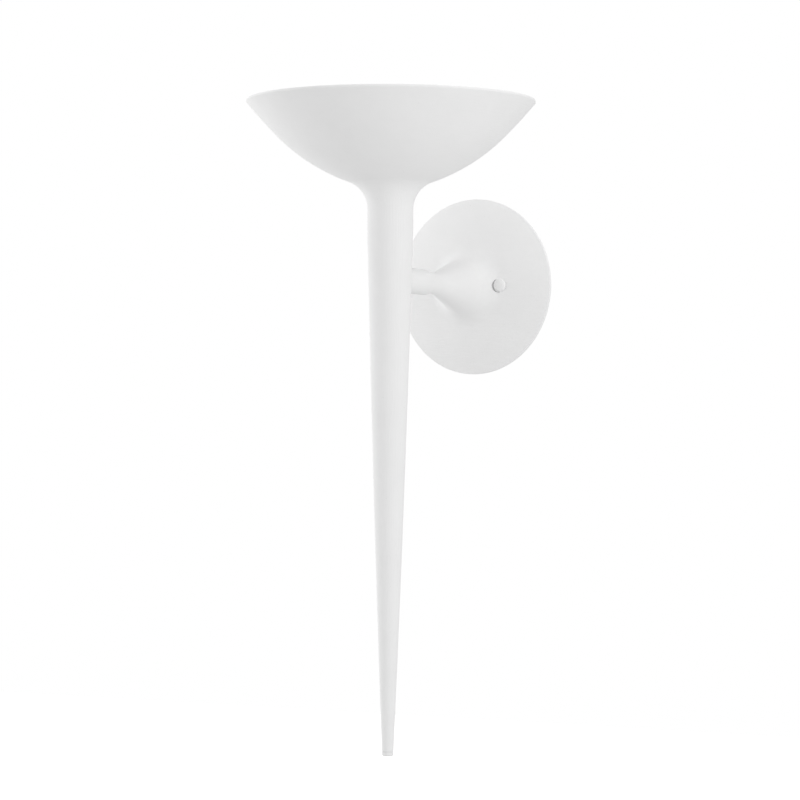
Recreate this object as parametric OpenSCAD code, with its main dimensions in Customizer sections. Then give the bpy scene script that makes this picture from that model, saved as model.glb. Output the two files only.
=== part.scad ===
// Torch sconce: a shallow bowl on a long tapered stem, carried off the wall by a short arm that
// flares into a round domed backplate. Uplight, one screw-base lamp, wired inside the arm.
// Frame: origin in the wall plane at the backplate's centre, +Z up, +Y into the wall, front at -Y.

/* [Overall] */
// Wall to the stem's axis
reach = 154; // [130:1:190]
// Arm's axis down to the stem's tip
stem_drop = 443; // [340:1:560]
// Arm's axis up to the bowl's seat on the neck
seat_rise = 91; // [84:1:120]

/* [Bowl] */
// Outside diameter at the rim
bowl_d = 271; // [220:1:300]
// Sheet thickness
bowl_wall = 2; // [1.2:0.1:3]
// Radius of the rounded lower bowl, seen from the side
bowl_bulge_r = 178; // [140:1:220]
// Slope of the bowl's side where it leaves the neck
seat_slope = 19.5; // [16:0.5:26]
// Slope where the rounded part ends and the flank begins
flank_slope = 45.5; // [38:0.5:50]
// Radius of the flank, much flatter than the rounded part
flank_r = 500; // [350:50:3000]
// Height of the upright edge at the rim
lip_h = 1.5; // [1:0.5:8]

/* [Stem] */
// Outside diameter at the top
stem_top_d = 43; // [43:0.5:48]
// Outside diameter at the tip
stem_tip_d = 10.6; // [9:0.1:16]
// Tube wall
stem_wall = 1.8; // [1.2:0.1:2]
// How far the taper bellies out beyond a straight cone
stem_swell = 0.9; // [0:0.1:2]
// Height above the arm's axis where the taper starts
taper_start = 47; // [20:1:58]
// Fillet that spreads the neck under the bowl
neck_fillet_r = 27.5; // [26:0.5:30]
// Length of the end button that shows below the stem
button_h = 4; // [2:0.5:8]

/* [Arm] */
// Outside diameter of the sleeve on the stem
sleeve_d = 24; // [20:0.5:29]
// Stem's axis to the sleeve's open end
sleeve_reach = 61.5; // [54:0.5:75]
// Wall of the sleeve round the backplate's nose, which plugs into it
sleeve_wall = 1.55; // [1.2:0.05:2.5]
// How far the nose goes into the sleeve
nose_grip = 17; // [10:0.5:20]
// Outside diameter of the hollow threaded tubes
nipple_d = 10; // [9:0.1:11]
// Bore of the hollow threaded tubes
nipple_bore = 6.6; // [6:0.1:7]

/* [Backplate] */
// Diameter
plate_d = 170; // [140:1:200]
// Height of the upright edge
edge_h = 2.3; // [1.5:0.1:5]
// Shell thickness
plate_wall = 2.2; // [1.5:0.1:3]
// Radius of the dome, seen from the side
dome_r = 400; // [300:10:800]
// Slope of the dome where the flare rises from it
dome_slope = 13; // [8:0.5:18]
// Radius on the dome where the flare rises from it
flare_foot_r = 36.8; // [34:0.2:46]
// Fillet between dome and flare
flare_fillet_r = 14; // [8:0.5:20]
// Half angle of the flare's cone
flare_angle = 16.3; // [12:0.1:20]
// Fillet between the cone and the nose
nose_fillet_r = 40; // [20:1:60]

/* [Fixing] */
// Distance between the two studs that hold the backplate
stud_spacing = 76; // [70:1:90]
// Stud diameter
stud_d = 4.2; // [3.5:0.1:5]
// Diameter of the cap nuts
cap_nut_d = 12.4; // [10:0.1:16]
// Height of the cap nuts
cap_nut_h = 5.6; // [4.5:0.1:9]
// Thickness of the steel bars
bar_t = 1.6; // [1.2:0.1:2.5]
// Width of the steel bars
bar_w = 16; // [14:0.5:22]
// Length of the upright bar that goes on the wall box
box_bar_l = 108; // [100:1:120]
// Length of the level bar beyond each stud
stud_bar_end = 9; // [6:0.5:14]
// Centre distance of the slots for the wall box's screws
slot_spacing = 80; // [76:1:86]
// Length of each slot
slot_l = 16; // [12:0.5:18]
// Width of each slot
slot_w = 4.8; // [4:0.1:6]

/* [Lamp] */
// Diameter of the lamp socket's body
socket_d = 34; // [32:0.5:35]
// Length of the socket's body above its cap
socket_h = 39; // [36:0.5:44]
// Diameter of the bulb's globe
bulb_d = 48; // [40:1:60]
// Length of the bulb's glass above its screw cap
bulb_h = 64; // [56:1:80]
// Diameter of the insulated wires
wire_d = 2.3; // [1.8:0.1:2.5]

/* [Hidden] */
$fn = 96;

white = "white";
fit = 0.15; // radial clearance of one piece in another
seat = 0.2; // gap left where one piece ends against another
weld_gap = 0.1; // between the sleeve and the stem that it is welded to

// Bowl
bowl_r = bowl_d / 2;
seat_r = stem_top_d / 2 + neck_fillet_r * (1 - sin(seat_slope));
bulge_c = [seat_r, seat_rise] + bowl_bulge_r * [-sin(seat_slope), cos(seat_slope)];
flank_start = bulge_c + bowl_bulge_r * [sin(flank_slope), -cos(flank_slope)];
flank_c = flank_start + flank_r * [-sin(flank_slope), cos(flank_slope)];
rim_slope = asin((bowl_r - flank_c[0]) / flank_r);
lip_foot = flank_c[1] - flank_r * cos(rim_slope);
rim_z = lip_foot + lip_h;
rim_in_r = flank_c[0] + sqrt(pow(flank_r - bowl_wall, 2) - pow(flank_c[1] - lip_foot, 2));
floor_t = bowl_wall;
floor_z = seat_rise + floor_t;
lip_round = 0.45 * bowl_wall;
floor_hole_gap = 0.4; // round the socket, which passes through the bowl's floor

// Stem
stem_top_r = stem_top_d / 2;
stem_tip_r = stem_tip_d / 2;
tip_z = -stem_drop;
fillet_z = seat_rise - neck_fillet_r * cos(seat_slope);
taper_l = taper_start - tip_z;
taper_steps = 18;
wire_hole_d = 16;
spigot_l = 12;

// Arm
nose_d = sleeve_d - 2 * (sleeve_wall + fit);
sleeve_bore_d = nose_d + 2 * fit;
sleeve_web_t = 8;
nose_end = sleeve_reach - nose_grip; // from the stem's axis
web_face = nose_end - seat; // front of the nose meets the web here
nipple_start = web_face - sleeve_web_t - 2;

// Backplate, radius and height from the wall
plate_r = plate_d / 2;
edge_round = 0.9;
dome_c_r = flare_foot_r - dome_r * sin(dome_slope);
dome_c = [dome_c_r, edge_h - sqrt(pow(dome_r, 2) - pow(plate_r - dome_c_r, 2))];
foot_c = dome_c + (dome_r + flare_fillet_r) * [sin(dome_slope), cos(dome_slope)];
edge_slope = asin((plate_r - edge_round - dome_c_r) / (dome_r - edge_round));
cone_foot = foot_c - flare_fillet_r * [cos(flare_angle), sin(flare_angle)];
nose_r = nose_d / 2;
cone_tip_h = cone_foot[1] + (cone_foot[0] - nose_r) / tan(flare_angle);
nose_tangent = nose_fillet_r * tan(flare_angle / 2);
nose_c = [nose_r + nose_fillet_r, cone_tip_h + nose_tangent];
nose_top_h = reach - nose_end;
hub_h = 66; // back face of the web inside the flare

// Fixing, heights from the wall
bar_corner_r = 2.5;
stud_bar_h = bar_t;
stud_front_h = 2 * bar_t;
pad_h = surface_h(stud_spacing / 2);
pad_d = cap_nut_d + 1;
boss_d = pad_d + 2 * plate_wall;
boss_h = plate_wall + 2;
stud_nut_t = 3.2;
stud_nut_af = 8.7;
ground_x = -22;
ground_head_d = 7.2;
lug_reach = 10.8; // the lug's tail, from the tube's axis
washer_t = 1;
lug_t = 0.8;
nut_t = 4;
nut_af = 14;
nipple_end_h = hub_h - washer_t - lug_t - nut_t - 3;

// Lamp, heights from the arm's axis
bridge_z = 40;
bridge_t = 3;
socket_nut_t = 3.5;
cap_z = bridge_z + bridge_t + socket_nut_t;
cap_h = 13.5;
body_z = cap_z + cap_h;
body_top = body_z + socket_h;
shell_cavity_d = 28;
shell_d = 27.5;
shell_bore_d = 26.5;
shell_z = body_z + 8;
contact_z = body_z + 4;
bulb_cap_d = 26;
bulb_cap_h = 25;
bulb_cap_z = body_top - 2.5 - bulb_cap_h;
glass_grip = 6; // how far the glass goes down into the bulb's cap
thread_pitch = 3.63; // of the medium screw base
thread_depth = 0.7;
thread_turns = 4;
thread_z = bulb_cap_z + 3;
thread_top = thread_z + thread_turns * thread_pitch;
insulator_h = 3.5;
terminal_x = 9.5;
terminal_head_d = 6;
terminal_z = body_z - 4.5;
ring_d = 50;
ring_h = 5.5;

// Wiring
wire_x = 1.5; // each lead's distance from the tube's axis
bend_r = 12; // where the leads turn from stem to arm
tail_bend_r = 8; // where they turn aside behind the backplate
tail_h = 6; // height of the turned tails above the wall
tail_l = 26;
strip_l = 8; // bare end of each tail
strip_d = 1.2;

// Points of an arc round c from angle a1 to a2, in n steps, leaving out those before the first
function arc_points(c, r, a1, a2, n, first = 0) =
    [for (i = [first:n]) let (a = a1 + (a2 - a1) * i / n) c + r * [cos(a), sin(a)]];

// Stem's outside radius in its taper, at height z
function taper_t(z) = (taper_start - z) / taper_l;
function stem_r(z) = z > taper_start ? stem_top_r
    : stem_top_r + (stem_tip_r - stem_top_r) * taper_t(z) + 4 * stem_swell * taper_t(z) * (1 - taper_t(z));

// Height of the dome's outside above the wall, at radius r
function surface_h(r) = dome_c[1] + sqrt(pow(dome_r, 2) - pow(r - dome_c[0], 2));

// Outline of the base's rolled thread, drawn as rings with their crests at radius r
function thread_outline(r) = [for (i = [0:8 * thread_turns])
    [r - thread_depth / 2 * (1 + cos(45 * i)), thread_z + thread_pitch * i / 8]];

// Stem's outline from the tip up to the seat, moved in by t
function stem_outline(t) = concat(
    [for (i = [0:taper_steps])
        let (z = tip_z + button_h + (taper_start - tip_z - button_h) * i / taper_steps) [stem_r(z) - t, z]],
    arc_points([stem_top_r + neck_fillet_r, fillet_z], neck_fillet_r + t, 180,
        180 - asin((seat_rise - fillet_z) / (neck_fillet_r + t)), 12)
);

// Slope of the dome's surface, moved in by t, at radius r
function dome_slope_at(r, t) = asin((r - dome_c[0]) / (dome_r - t));

// Backplate's dome and the foot of its flare, from radius r inwards, moved in by t
function dome_outline(r, t) = concat(
    arc_points(dome_c, dome_r - t, 90 - dome_slope_at(r, t), 90 - dome_slope, 12),
    arc_points(foot_c, flare_fillet_r + t, 270 - dome_slope, 180 + flare_angle, 10, 1)
);

// Inside radius of the flare at height h
function flare_in_r(h) =
    nose_r + (cone_tip_h - h) * tan(flare_angle) - plate_wall / cos(flare_angle);

module on_stem() { translate([0, -reach, 0]) children(); }
// Turns the child's +Z to face out from the wall
module off_wall() { rotate([90, 0, 0]) children(); }
// Runs the child's +Z from the stem's axis towards the wall
module along_arm() { translate([0, -reach, 0]) rotate([-90, 0, 0]) children(); }

module tube(od, id, h) {
    difference() {
        cylinder(d = od, h = h);
        translate([0, 0, -1]) cylinder(d = id, h = h + 2);
    }
}

// Six sides, with the corners turned off by a 30 degree cone at both ends
module hexagon(af, t, both_ends = true) {
    corner_r = af / cos(30) / 2;
    drop = (corner_r - af / 2) * tan(30);
    intersection() {
        cylinder(r = corner_r, h = t, $fn = 6);
        rotate_extrude() polygon([
            [0, 0], [both_ends ? af / 2 : corner_r, 0], [corner_r, both_ends ? drop : 0],
            [corner_r, t - drop], [af / 2, t], [0, t]
        ]);
    }
}

module hex_nut(af, id, t) {
    difference() {
        hexagon(af, t);
        translate([0, 0, -1]) cylinder(d = id, h = t + 2);
    }
}

// Quarter turn of a wire that starts at the origin going +Z and ends going +X
module elbow(r) {
    translate([r, 0, 0]) rotate([90, 0, 180])
        rotate_extrude(angle = 90) translate([r, 0]) circle(d = wire_d, $fn = 24);
}

// Quarter turn that starts at the origin going -Z and ends going +Y
module elbow_down(r) { rotate(180, [1, 1, 0]) elbow(r); }

// Straight wire from the origin along +Z
module wire(l, d = wire_d) { cylinder(d = d, h = l, $fn = 24); }

module bowl() {
    inner_bulge = bowl_bulge_r - bowl_wall;
    inner_start = acos((bulge_c[1] - floor_z) / inner_bulge);
    inner_end = asin((rim_in_r - flank_c[0]) / (flank_r - bowl_wall));
    hole_r = socket_d / 2 + floor_hole_gap;
    color(white) on_stem() rotate_extrude() polygon(concat(
        [[hole_r, seat_rise]],
        arc_points(bulge_c, bowl_bulge_r, seat_slope - 90, flank_slope - 90, 16),
        arc_points(flank_c, flank_r, flank_slope - 90, rim_slope - 90, 6, 1),
        arc_points([bowl_r - lip_round, rim_z - lip_round], lip_round, 0, 90, 4),
        arc_points([rim_in_r + lip_round, rim_z - lip_round], lip_round, 90, 180, 4),
        arc_points(flank_c, flank_r - bowl_wall, inner_end - 90, flank_slope - 90, 6),
        arc_points(bulge_c, inner_bulge, flank_slope - 90, inner_start - 90, 16, 1),
        [[hole_r, floor_z]]
    ));
}

module stem() {
    outside = stem_outline(0);
    inside = stem_outline(stem_wall);
    color(white) difference() {
        on_stem() rotate_extrude() polygon(concat(
            outside, [for (i = [len(inside) - 1:-1:0]) inside[i]]
        ));
        along_arm() cylinder(d = wire_hole_d, h = stem_top_d);
    }
}

// Button that closes the stem's lower end, with a spigot up its bore
module stem_tip() {
    end_r = stem_r(tip_z + button_h);
    round_r = 1.8;
    color(white) on_stem() union() {
        rotate_extrude() polygon(concat(
            [[0, tip_z]],
            arc_points([stem_tip_r - round_r, tip_z + round_r], round_r, -90, 0, 6),
            [[end_r, tip_z + button_h], [0, tip_z + button_h]]
        ));
        translate([0, 0, tip_z + button_h - 1])
            cylinder(r = end_r - stem_wall - fit, h = spigot_l + 1);
    }
}

// Boss welded to the stem: cut to the stem's taper, bored for the nose, with a tapped web
module arm_sleeve() {
    color(white) difference() {
        along_arm() difference() {
            cylinder(d = sleeve_d, h = sleeve_reach);
            translate([0, 0, web_face]) cylinder(d = sleeve_bore_d, h = nose_grip + 1);
            translate([0, 0, -1]) cylinder(d = wire_hole_d, h = web_face - sleeve_web_t + 1);
            cylinder(d = nipple_d + 2 * fit, h = sleeve_reach);
        }
        on_stem() rotate_extrude() polygon(concat(
            stem_outline(-weld_gap), [[0, seat_rise], [0, tip_z + button_h]]
        ));
    }
}

module backplate() {
    in_r = plate_r - plate_wall;
    inside = dome_outline(in_r, plate_wall);
    bore_r = nipple_d / 2 + fit;
    round_c = dome_c + (dome_r - edge_round) * [sin(edge_slope), cos(edge_slope)];
    color(white) off_wall() difference() {
        union() {
            rotate_extrude() polygon(concat(
                [[in_r, 0], [plate_r, 0]],
                arc_points(round_c, edge_round, 0, 90 - edge_slope, 4),
                dome_outline(plate_r - edge_round, 0),
                arc_points(nose_c, nose_fillet_r, 180 + flare_angle, 180, 6),
                [[nose_r, nose_top_h], [bore_r, nose_top_h], [bore_r, hub_h], [flare_in_r(hub_h), hub_h]],
                [for (i = [len(inside) - 1:-1:0]) inside[i]]
            ));
            // boss behind each nut's seat, solid up to the middle of the shell's wall
            for (x = [-1, 1]) intersection() {
                translate([x * stud_spacing / 2, 0, pad_h - boss_h]) cylinder(d = boss_d, h = 3 * boss_h);
                rotate_extrude() polygon(concat(
                    dome_outline(in_r, plate_wall / 2), [[0, cone_foot[1]], [0, 0], [in_r, 0]]
                ));
            }
            for (x = [-1, 1]) translate([x * stud_spacing / 2, 0, pad_h - boss_h])
                cylinder(d = pad_d, h = boss_h);
        }
        for (x = [-1, 1]) translate([x * stud_spacing / 2, 0, 0]) {
            cylinder(d = stud_d + 0.6, h = pad_h + 1);
            translate([0, 0, pad_h]) cylinder(d = pad_d, h = 12);
        }
    }
}

module arm_nipple() {
    color("silver") along_arm() translate([0, 0, nipple_start])
        tube(nipple_d, nipple_bore, reach - nipple_end_h - nipple_start);
}

module arm_lock_washer() {
    color("silver") off_wall() translate([0, 0, hub_h - washer_t]) difference() {
        cylinder(d = 17, h = washer_t);
        translate([0, 0, -1]) cylinder(d = nipple_d + 2 * fit, h = washer_t + 2);
        // the split of a spring washer
        translate([0, -0.6, -1]) cube([12, 1.2, washer_t + 2]);
    }
}

module ground_lug() {
    color("silver") off_wall() translate([0, 0, hub_h - washer_t - lug_t]) difference() {
        union() {
            cylinder(d = 16.6, h = lug_t);
            translate([-lug_reach, -2, 0]) cube([6, 4, lug_t]);
        }
        translate([0, 0, -1]) cylinder(d = nipple_d + 2 * fit, h = lug_t + 2);
    }
}

module arm_locknut() {
    color("gold") off_wall() translate([0, 0, hub_h - washer_t - lug_t - nut_t])
        hex_nut(nut_af, nipple_d + 2 * fit, nut_t);
}

// Plastic cap on the tube's rear end that keeps its edge off the wires
module wire_bushing() {
    lip = 1.2;
    color("ivory") off_wall() translate([0, 0, nipple_end_h - lip]) difference() {
        cylinder(d = nipple_d + 3, h = lip + 2.4);
        translate([0, 0, lip]) cylinder(d = nipple_d + 2 * fit, h = 4);
        translate([0, 0, -1]) cylinder(d = nipple_bore - 0.6, h = 4);
    }
}

// Flat bar with rounded corners
module bar_outline(l, h) {
    r = bar_corner_r;
    translate([r - bar_w / 2, -l / 2, 0]) cube([bar_w - 2 * r, l, h]);
    translate([-bar_w / 2, r - l / 2, 0]) cube([bar_w, l - 2 * r, h]);
    for (x = [-1, 1], y = [-1, 1])
        translate([x * (bar_w / 2 - r), y * (l / 2 - r), 0]) cylinder(r = r, h = h);
}

// Upright bar, flat on the wall box, with a slot for each of the box's two screws
module box_bar() {
    color("silver") off_wall() difference() {
        bar_outline(box_bar_l, bar_t);
        for (s = [-1, 1]) translate([0, s * slot_spacing / 2, -1]) {
            translate([-slot_w / 2, -(slot_l - slot_w) / 2, 0]) cube([slot_w, slot_l - slot_w, bar_t + 2]);
            for (e = [-1, 1]) translate([0, e * (slot_l - slot_w) / 2, 0])
                cylinder(d = slot_w, h = bar_t + 2);
        }
        translate([0, 0, -1]) cylinder(d = 10.2, h = bar_t + 2);
        translate([0, 0, -0.01]) cylinder(r1 = 6.3, r2 = 5.1, h = 1.2);
    }
}

// Level bar across it, tapped for the two studs and the earth screw
module stud_bar() {
    color("silver") off_wall() translate([0, 0, stud_bar_h]) difference() {
        rotate([0, 0, 90]) bar_outline(stud_spacing + 2 * stud_bar_end, bar_t);
        for (x = [-1, 1]) translate([x * stud_spacing / 2, 0, -1])
            cylinder(d = stud_d + 0.1, h = bar_t + 2);
        translate([ground_x, 0, -1]) cylinder(d = 4, h = bar_t + 2);
        translate([0, 0, -1]) cylinder(d = 10.2, h = bar_t + 2);
    }
}

// Eyelet that the two bars turn on
module bar_eyelet() {
    flange_t = 0.8;
    color("silver") off_wall() difference() {
        union() {
            translate([0, 0, 0.1]) cylinder(r1 = 6.1, r2 = 5, h = 1.1);
            translate([0, 0, 0.1]) cylinder(d = 10, h = stud_front_h + flange_t - 0.1);
            translate([0, 0, stud_front_h]) cylinder(d = 13, h = flange_t);
        }
        translate([0, 0, -1]) cylinder(d = 8, h = 8);
    }
}

// Headed studs that stand out of the level bar, through the backplate
module mounting_studs() {
    head_t = bar_t - 0.2;
    color("silver") off_wall() for (x = [-1, 1]) translate([x * stud_spacing / 2, 0, 0]) {
        translate([0, 0, stud_bar_h - head_t]) cylinder(d = 7.6, h = head_t);
        translate([0, 0, stud_bar_h - 0.5]) cylinder(d = stud_d, h = pad_h + cap_nut_h - 2.4 - stud_bar_h);
    }
}

module stud_nuts() {
    color("silver") off_wall() for (x = [-1, 1]) translate([x * stud_spacing / 2, 0, stud_front_h])
        hex_nut(stud_nut_af, stud_d + 0.1, stud_nut_t);
}

// Low domed nuts that hold the backplate on from the front
module cap_nuts() {
    r = cap_nut_d / 2;
    skirt = cap_nut_h * 0.45;
    crown = cap_nut_h - skirt;
    color(white) off_wall() for (x = [-1, 1]) translate([x * stud_spacing / 2, 0, pad_h])
        difference() {
            rotate_extrude() polygon(concat(
                [[0, 0], [r - 0.4, 0], [r, 0.4]],
                [for (i = [0:8]) let (a = 90 * i / 8) [r * cos(a), skirt + crown * sin(a)]]
            ));
            translate([0, 0, -1]) cylinder(d = stud_d + 0.1, h = cap_nut_h - 0.7);
        }
}

module ground_screw() {
    color("green") off_wall() translate([ground_x, 0, 0]) difference() {
        union() {
            translate([0, 0, stud_front_h]) cylinder(d = ground_head_d, h = 0.8);
            translate([0, 0, stud_front_h]) hexagon(5.6, 2.6, both_ends = false);
            translate([0, 0, 0.3]) cylinder(d = 3.9, h = stud_front_h);
        }
        // screwdriver slot
        translate([-4, -0.5, stud_front_h + 1.6]) cube([8, 1, 2]);
    }
}

// Disc welded across the neck that carries the socket
module socket_bridge() {
    color("silver") on_stem() translate([0, 0, bridge_z]) difference() {
        cylinder(r = stem_r(bridge_z) - stem_wall - fit, h = bridge_t);
        translate([0, 0, -1]) cylinder(d = nipple_d + 2 * fit, h = bridge_t + 2);
    }
}

module socket_nipple() {
    color("silver") on_stem() translate([0, 0, bridge_z - socket_nut_t - 2])
        tube(nipple_d, nipple_bore, cap_z + 5.5 - (bridge_z - socket_nut_t - 2));
}

module socket_locknuts() {
    color("gold") on_stem() for (z = [bridge_z - socket_nut_t, bridge_z + bridge_t])
        translate([0, 0, z]) hex_nut(nut_af, nipple_d + 2 * fit, socket_nut_t);
}

// Metal cup under the socket's body, over the wire terminals
module socket_cap() {
    cup_wall = 1;
    base_t = 1.5;
    color("silver") on_stem() translate([0, 0, cap_z]) difference() {
        cylinder(d = socket_d, h = cap_h);
        translate([0, 0, base_t]) cylinder(d = socket_d - 2 * cup_wall, h = cap_h);
        translate([0, 0, -1]) cylinder(d = nipple_d + 2 * fit, h = base_t + 2);
    }
}

module socket_body() {
    color("gainsboro") on_stem() difference() {
        union() {
            translate([0, 0, body_z]) cylinder(d = socket_d, h = socket_h);
            translate([0, 0, body_z - 3]) cylinder(d = socket_d - 2 - 2 * fit, h = 4);
        }
        translate([0, 0, shell_z]) cylinder(d = shell_cavity_d, h = socket_h);
        translate([0, 0, contact_z]) cylinder(d = 16, h = socket_h);
        for (x = [-1, 1]) translate([x * terminal_x, 0, body_z - 4]) cylinder(d = 3.4, h = 7.4);
    }
}

// Rolled from sheet, with the same thread as the bulb's cap that screws into it
module screw_shell() {
    floor_t = 0.6;
    hole_r = 10;
    function side(r, low) = concat(
        [[r, low], [r, thread_z - 1]], thread_outline(r), [[r, thread_top + 1], [r, body_top - 2]]
    );
    outside = side(shell_d / 2, shell_z);
    inside = side(shell_bore_d / 2, shell_z + floor_t);
    color("gold") on_stem() rotate_extrude() polygon(concat(
        [[hole_r, shell_z]], outside, [for (i = [len(inside) - 1:-1:0]) inside[i]],
        [[hole_r, shell_z + floor_t]]
    ));
}

module centre_contact() {
    color("gold") on_stem() translate([0, 0, contact_z]) union() {
        cylinder(d = 12, h = 0.8);
        rotate_extrude() polygon(concat(
            [[0, 0.5], [3.2, 0.5]],
            [for (i = [0:6]) let (a = 90 * i / 6) [3.2 * cos(a), 0.8 + contact_rise() * sin(a)]]
        ));
    }
}
// The spring contact's height, just short of the bulb's own contact
function contact_rise() = bulb_cap_z - insulator_h - 1 - seat - contact_z - 0.8;

module terminal_screws() {
    head_z = body_z - 5.2;
    color("gold") on_stem() for (x = [-1, 1]) translate([x * terminal_x, 0, 0]) difference() {
        union() {
            translate([0, 0, head_z]) cylinder(d = terminal_head_d, h = 2);
            translate([0, 0, body_z - 4]) cylinder(d = 3.2, h = 7);
        }
        // screwdriver slot
        translate([-4, -0.45, head_z - 1]) cube([8, 0.9, 1.9]);
    }
}

// Ring screwed onto the socket that clamps the bowl's floor to the neck
module shade_ring() {
    grips = 20;
    color("gainsboro") on_stem() translate([0, 0, floor_z]) difference() {
        cylinder(d = ring_d, h = ring_h);
        translate([0, 0, -1]) cylinder(d = socket_d + 2 * fit, h = ring_h + 2);
        for (i = [0:grips - 1]) rotate([0, 0, 360 * i / grips])
            translate([ring_d / 2 + 0.6, 0, 1.4]) cylinder(d = 3.4, h = ring_h, $fn = 24);
    }
}

// Frosted glass, open at the neck
module bulb_envelope() {
    glass_t = 0.8;
    neck_r = bulb_cap_d / 2 - 0.6;
    globe_r = bulb_d / 2;
    foot_z = bulb_cap_z + bulb_cap_h;
    globe_z = foot_z + bulb_h - globe_r;
    side_a = 38;
    blend_r = 14;
    // the cone runs tangent from the globe at -side_a down to the neck, with a fillet there
    side = [globe_r * cos(side_a), globe_z - globe_r * sin(side_a)];
    cone_h = (side[0] - neck_r) / tan(side_a);
    knee = [neck_r, side[1] - cone_h];
    blend_c = [neck_r + blend_r, knee[1] - blend_r * tan(side_a / 2)];
    function glass(t) = concat(
        [[neck_r - t, foot_z - glass_grip]],
        arc_points(blend_c, blend_r + t, 180, 180 - side_a, 6),
        arc_points([0, globe_z], globe_r - t, -side_a, 90, 20)
    );
    outside = glass(0);
    inside = glass(glass_t);
    color("white") on_stem() rotate_extrude() polygon(concat(
        outside, [for (i = [len(inside) - 1:-1:0]) inside[i]]
    ));
}

// Rolled from thin sheet: narrow at its foot, threaded, and plain where it holds the glass
module bulb_cap() {
    cap_wall = 0.4;
    foot_r = 10.8;
    hole_r = 8.5;
    function side(t) = concat(
        [[foot_r - t, bulb_cap_z + t]], thread_outline(bulb_cap_d / 2 - t),
        [[bulb_cap_d / 2 - t, thread_top + 1], [bulb_cap_d / 2 - t, bulb_cap_z + bulb_cap_h]]
    );
    outside = side(0);
    inside = side(cap_wall);
    color("silver") on_stem() rotate_extrude() polygon(concat(
        [[hole_r, bulb_cap_z]], outside, [for (i = [len(inside) - 1:-1:0]) inside[i]],
        [[hole_r, bulb_cap_z + cap_wall]]
    ));
}

module bulb_insulator() {
    color("black") on_stem() translate([0, 0, bulb_cap_z - insulator_h])
        cylinder(d1 = 10, d2 = 17, h = insulator_h);
}

module bulb_contact() {
    color("silver") on_stem() translate([0, 0, bulb_cap_z - insulator_h - 1]) cylinder(d = 8, h = 1);
}

// One insulated lead: from its terminal down the stem, along the arm and aside behind the backplate
module lead(side) {
    tail_start_h = tail_h + tail_bend_r;
    top_bend_r = 3;
    top_z = terminal_z - top_bend_r;
    on_stem() translate([side * wire_x, 0, 0]) {
        translate([0, 0, bend_r]) wire(top_z - bend_r);
        translate([0, 0, top_z]) mirror([side < 0 ? 1 : 0, 0, 0]) {
            elbow(top_bend_r);
            translate([top_bend_r, 0, top_bend_r]) rotate([0, 90, 0])
                wire(terminal_x - terminal_head_d / 2 - seat - wire_x - top_bend_r);
        }
        translate([0, 0, bend_r]) elbow_down(bend_r);
        translate([0, bend_r, 0]) rotate([-90, 0, 0]) wire(reach - tail_start_h - bend_r);
    }
    off_wall() mirror([0, side < 0 ? 1 : 0, 0]) translate([side * wire_x, 0, tail_start_h]) {
        elbow_down(tail_bend_r);
        translate([0, tail_bend_r, -tail_bend_r]) rotate([-90, 0, 0]) {
            wire(tail_l);
            wire(tail_l + strip_l, strip_d);
        }
    }
}

module live_lead() { color("black") lead(1); }
module neutral_lead() { color("white") lead(-1); }

// Green lead from the lug on the arm's tube to the screw on the level bar
module ground_lead() {
    x = -lug_reach + wire_d / 2 + 0.05;
    top_h = hub_h - washer_t - lug_t - 0.3;
    end_h = stud_front_h + wire_d / 2 + 0.1;
    r = tail_bend_r;
    color("green") off_wall() {
        translate([x, 0, end_h + r]) wire(top_h - end_h - r);
        translate([x, 0, end_h + r]) rotate([0, 180, 0]) elbow(r);
        translate([x - r, 0, end_h]) rotate([0, -90, 0]) wire(x - r - ground_x - ground_head_d / 2 - 0.3);
    }
}

bowl();
stem();
stem_tip();
arm_sleeve();
backplate();
arm_nipple();
arm_lock_washer();
ground_lug();
arm_locknut();
wire_bushing();
box_bar();
stud_bar();
bar_eyelet();
mounting_studs();
stud_nuts();
cap_nuts();
ground_screw();
socket_bridge();
socket_nipple();
socket_locknuts();
socket_cap();
socket_body();
screw_shell();
centre_contact();
terminal_screws();
shade_ring();
bulb_envelope();
bulb_cap();
bulb_insulator();
bulb_contact();
live_lead();
neutral_lead();
ground_lead();
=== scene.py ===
# %% [markdown]
# # A plaster-white torch sconce
# The object is a wall light: a shallow metal bowl on a long tapered tube, held off the wall by a short arm
# that flares into a round plate. All of it is coated by hand with white gesso, a mix of chalk and glue. The
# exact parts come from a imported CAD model, the frame. This script gives every part its finish and makes the
# visible turned parts again with finer curves than a CAD export has.

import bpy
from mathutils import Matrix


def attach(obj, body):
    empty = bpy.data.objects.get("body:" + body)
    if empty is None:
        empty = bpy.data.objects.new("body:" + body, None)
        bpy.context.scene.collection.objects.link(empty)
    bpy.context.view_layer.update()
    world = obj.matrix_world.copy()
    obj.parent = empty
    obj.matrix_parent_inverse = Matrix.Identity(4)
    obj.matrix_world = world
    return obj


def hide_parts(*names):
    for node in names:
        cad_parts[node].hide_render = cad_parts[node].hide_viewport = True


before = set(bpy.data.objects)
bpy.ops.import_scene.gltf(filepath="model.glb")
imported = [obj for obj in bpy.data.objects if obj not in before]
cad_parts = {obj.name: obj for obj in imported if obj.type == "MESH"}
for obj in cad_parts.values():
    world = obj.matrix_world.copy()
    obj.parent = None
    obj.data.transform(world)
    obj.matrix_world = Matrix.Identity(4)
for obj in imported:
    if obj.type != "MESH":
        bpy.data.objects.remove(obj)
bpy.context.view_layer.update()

# %% [markdown]
# The frame is in metres, and a maker thinks in millimetres, so one small function converts. The other
# values here are the driving sizes of the real sconce. A finer piece has to sit exactly where its CAD part
# sits, so it starts from the same sizes.

# %% Sizes
from math import acos, asin, cos, degrees, pi, radians, sin, sqrt, tan

import bmesh
import bpy
from mathutils import Matrix, Vector, noise

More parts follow.
